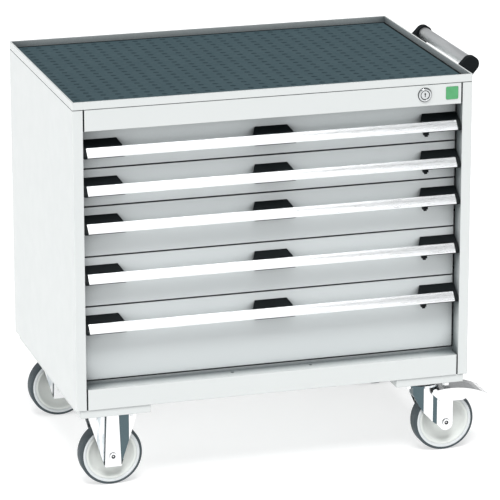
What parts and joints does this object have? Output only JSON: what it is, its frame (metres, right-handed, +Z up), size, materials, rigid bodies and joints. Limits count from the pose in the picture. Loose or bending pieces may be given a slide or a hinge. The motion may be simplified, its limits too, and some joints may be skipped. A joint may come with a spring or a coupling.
{
  "type": "mobile drawer cabinet",
  "caption": "Steel workshop cabinet on castors with full-width pull-out drawers, bar handles, a key lock, a push handle and a lipped worktop with a rubber mat.",
  "frame": {"origin": "middle of the overall box, on the floor under the wheels", "axes": "+Z up, +X to the cabinet's right seen from the front, +Y from the drawers towards the back"},
  "size_m": [0.861, 0.528, 0.787],
  "materials": {
    "housing_paint": "fine satin powder coat, light grey",
    "drawer_paint": "fine satin powder coat, light grey",
    "bar_aluminium": "fine brushed, clear anodised",
    "black_plastic": "fine grained moulding",
    "mat_rubber": "ribbed rubber mat, slate blue",
    "zinc": "bright zinc plate",
    "lock_chrome": "polished",
    "badge_green": "plain green badge without lettering",
    "tyre_rubber": "grey non-marking rubber",
    "rim_plastic": "light grey moulded wheel centre",
    "tube_satin": "satin steel tube"
  },
  "bodies": {
    "cabinet": {"left_side_panel": "housing_paint", "right_side_panel": "housing_paint", "back_panel": "housing_paint", "base_panel": "housing_paint", "bottom_rail": "housing_paint", "top_rail": "housing_paint", "top_tray": "housing_paint", "top_mat": "mat_rubber", "castor_channels": "housing_paint", "runner_uprights": "zinc", "outer_runners": "zinc", "lock_housing": "lock_chrome", "lock_bar_guides": "zinc", "badge": "badge_green", "push_handle_tube": "tube_satin", "push_handle_brackets": "black_plastic", "castor_bolts": "zinc", "fixed_castor_forks": "zinc", "fixed_castor_axles": "zinc", "swivel_castor_plates": "zinc"},
    "drawer_1": {"drawer_1_box": "drawer_paint", "drawer_1_handle": "bar_aluminium", "drawer_1_brackets": "black_plastic"},
    "drawer_1_catch_body": {"drawer_1_catch": "black_plastic"},
    "drawer_1_mid": {"drawer_1_mid_runners": "zinc"},
    "drawer_2": {"drawer_2_box": "drawer_paint", "drawer_2_handle": "bar_aluminium", "drawer_2_brackets": "black_plastic"},
    "drawer_2_catch_body": {"drawer_2_catch": "black_plastic"},
    "drawer_2_mid": {"drawer_2_mid_runners": "zinc"},
    "drawer_3": {"drawer_3_box": "drawer_paint", "drawer_3_handle": "bar_aluminium", "drawer_3_brackets": "black_plastic"},
    "drawer_3_catch_body": {"drawer_3_catch": "black_plastic"},
    "drawer_3_mid": {"drawer_3_mid_runners": "zinc"},
    "drawer_4": {"drawer_4_box": "drawer_paint", "drawer_4_handle": "bar_aluminium", "drawer_4_brackets": "black_plastic"},
    "drawer_4_catch_body": {"drawer_4_catch": "black_plastic"},
    "drawer_4_mid": {"drawer_4_mid_runners": "zinc"},
    "drawer_5": {"drawer_5_box": "drawer_paint", "drawer_5_handle": "bar_aluminium", "drawer_5_brackets": "black_plastic"},
    "drawer_5_catch_body": {"drawer_5_catch": "black_plastic"},
    "drawer_5_mid": {"drawer_5_mid_runners": "zinc"},
    "lock_plug_body": {"lock_plug": "lock_chrome"},
    "lock_bar_body": {"lock_bar": "zinc"},
    "fixed_front_wheel": {"fixed_front_rim": "rim_plastic", "fixed_front_tyre": "tyre_rubber"},
    "swivel_front_castor": {"swivel_front_fork": "zinc"},
    "swivel_front_wheel": {"swivel_front_rim": "rim_plastic", "swivel_front_tyre": "tyre_rubber"},
    "swivel_front_brake": {"swivel_front_pedal": "zinc"},
    "fixed_rear_wheel": {"fixed_rear_rim": "rim_plastic", "fixed_rear_tyre": "tyre_rubber"},
    "swivel_rear_castor": {"swivel_rear_fork": "zinc"},
    "swivel_rear_wheel": {"swivel_rear_rim": "rim_plastic", "swivel_rear_tyre": "tyre_rubber"},
    "swivel_rear_brake": {"swivel_rear_pedal": "zinc"}
  },
  "joints": [
    {"name": "drawer_1_slide", "type": "slide", "parent": "cabinet", "child": "drawer_1", "axis": [0, -1, 0], "range_m": [0, 0.419]},
    {"name": "drawer_1_runner_slide", "type": "slide", "parent": "cabinet", "child": "drawer_1_mid", "axis": [0, -1, 0], "range_m": [0, 0.2095]},
    {"name": "drawer_1_catch_press", "type": "hinge", "parent": "drawer_1", "child": "drawer_1_catch_body", "pos_m": [0.2725, -0.2535, 0.6706], "axis": [1, 0, 0], "range_deg": [0, 20], "stiffness_Nm_per_rad": 0.02, "springref_deg": -5.73},
    {"name": "drawer_2_slide", "type": "slide", "parent": "cabinet", "child": "drawer_2", "axis": [0, -1, 0], "range_m": [0, 0.419]},
    {"name": "drawer_2_runner_slide", "type": "slide", "parent": "cabinet", "child": "drawer_2_mid", "axis": [0, -1, 0], "range_m": [0, 0.2095]},
    {"name": "drawer_2_catch_press", "type": "hinge", "parent": "drawer_2", "child": "drawer_2_catch_body", "pos_m": [0.2725, -0.2535, 0.5956], "axis": [1, 0, 0], "range_deg": [0, 20], "stiffness_Nm_per_rad": 0.02, "springref_deg": -5.73},
    {"name": "drawer_3_slide", "type": "slide", "parent": "cabinet", "child": "drawer_3", "axis": [0, -1, 0], "range_m": [0, 0.419]},
    {"name": "drawer_3_runner_slide", "type": "slide", "parent": "cabinet", "child": "drawer_3_mid", "axis": [0, -1, 0], "range_m": [0, 0.2095]},
    {"name": "drawer_3_catch_press", "type": "hinge", "parent": "drawer_3", "child": "drawer_3_catch_body", "pos_m": [0.2725, -0.2535, 0.5206], "axis": [1, 0, 0], "range_deg": [0, 20], "stiffness_Nm_per_rad": 0.02, "springref_deg": -5.73},
    {"name": "drawer_4_slide", "type": "slide", "parent": "cabinet", "child": "drawer_4", "axis": [0, -1, 0], "range_m": [0, 0.419]},
    {"name": "drawer_4_runner_slide", "type": "slide", "parent": "cabinet", "child": "drawer_4_mid", "axis": [0, -1, 0], "range_m": [0, 0.2095]},
    {"name": "drawer_4_catch_press", "type": "hinge", "parent": "drawer_4", "child": "drawer_4_catch_body", "pos_m": [0.2725, -0.2535, 0.4206], "axis": [1, 0, 0], "range_deg": [0, 20], "stiffness_Nm_per_rad": 0.02, "springref_deg": -5.73},
    {"name": "drawer_5_slide", "type": "slide", "parent": "cabinet", "child": "drawer_5", "axis": [0, -1, 0], "range_m": [0, 0.419]},
    {"name": "drawer_5_runner_slide", "type": "slide", "parent": "cabinet", "child": "drawer_5_mid", "axis": [0, -1, 0], "range_m": [0, 0.2095]},
    {"name": "drawer_5_catch_press", "type": "hinge", "parent": "drawer_5", "child": "drawer_5_catch_body", "pos_m": [0.2725, -0.2535, 0.3206], "axis": [1, 0, 0], "range_deg": [0, 20], "stiffness_Nm_per_rad": 0.02, "springref_deg": -5.73},
    {"name": "lock_turn", "type": "hinge", "parent": "cabinet", "child": "lock_plug_body", "pos_m": [0.2715, -0.261, 0.75], "axis": [0, -1, 0], "range_deg": [0, 90]},
    {"name": "lock_bar_lift", "type": "slide", "parent": "cabinet", "child": "lock_bar_body", "axis": [0, 0, 1], "range_m": [0, 0.00707]},
    {"name": "fixed_front_roll", "type": "hinge", "parent": "cabinet", "child": "fixed_front_wheel", "pos_m": [-0.3525, -0.207, 0.0625], "axis": [0, 1, 0], "continuous": true},
    {"name": "swivel_front_turn", "type": "hinge", "parent": "cabinet", "child": "swivel_front_castor", "pos_m": [0.2915, -0.207, 0.155], "axis": [0, 0, 1], "continuous": true},
    {"name": "swivel_front_roll", "type": "hinge", "parent": "swivel_front_castor", "child": "swivel_front_wheel", "pos_m": [0.3365, -0.207, 0.0625], "axis": [0, 1, 0], "continuous": true},
    {"name": "swivel_front_brake_press", "type": "hinge", "parent": "swivel_front_castor", "child": "swivel_front_brake", "pos_m": [0.3105, -0.207, 0.132], "axis": [0, 1, 0], "range_deg": [0, 8], "stiffness_Nm_per_rad": 1.5, "springref_deg": -6.88},
    {"name": "fixed_rear_roll", "type": "hinge", "parent": "cabinet", "child": "fixed_rear_wheel", "pos_m": [-0.3525, 0.217, 0.0625], "axis": [0, 1, 0], "continuous": true},
    {"name": "swivel_rear_turn", "type": "hinge", "parent": "cabinet", "child": "swivel_rear_castor", "pos_m": [0.2915, 0.217, 0.155], "axis": [0, 0, 1], "continuous": true},
    {"name": "swivel_rear_roll", "type": "hinge", "parent": "swivel_rear_castor", "child": "swivel_rear_wheel", "pos_m": [0.3365, 0.217, 0.0625], "axis": [0, 1, 0], "continuous": true},
    {"name": "swivel_rear_brake_press", "type": "hinge", "parent": "swivel_rear_castor", "child": "swivel_rear_brake", "pos_m": [0.3105, 0.217, 0.132], "axis": [0, 1, 0], "range_deg": [0, 8], "stiffness_Nm_per_rad": 1.5, "springref_deg": -6.88}
  ],
  "couplings": [
    {"joint": "drawer_1_runner_slide", "follows": "drawer_1_slide", "ratio": 0.5},
    {"joint": "drawer_2_runner_slide", "follows": "drawer_2_slide", "ratio": 0.5},
    {"joint": "drawer_3_runner_slide", "follows": "drawer_3_slide", "ratio": 0.5},
    {"joint": "drawer_4_runner_slide", "follows": "drawer_4_slide", "ratio": 0.5},
    {"joint": "drawer_5_runner_slide", "follows": "drawer_5_slide", "ratio": 0.5},
    {"joint": "lock_turn", "follows": "lock_bar_lift", "rad_per_m": 222.14}
  ]
}
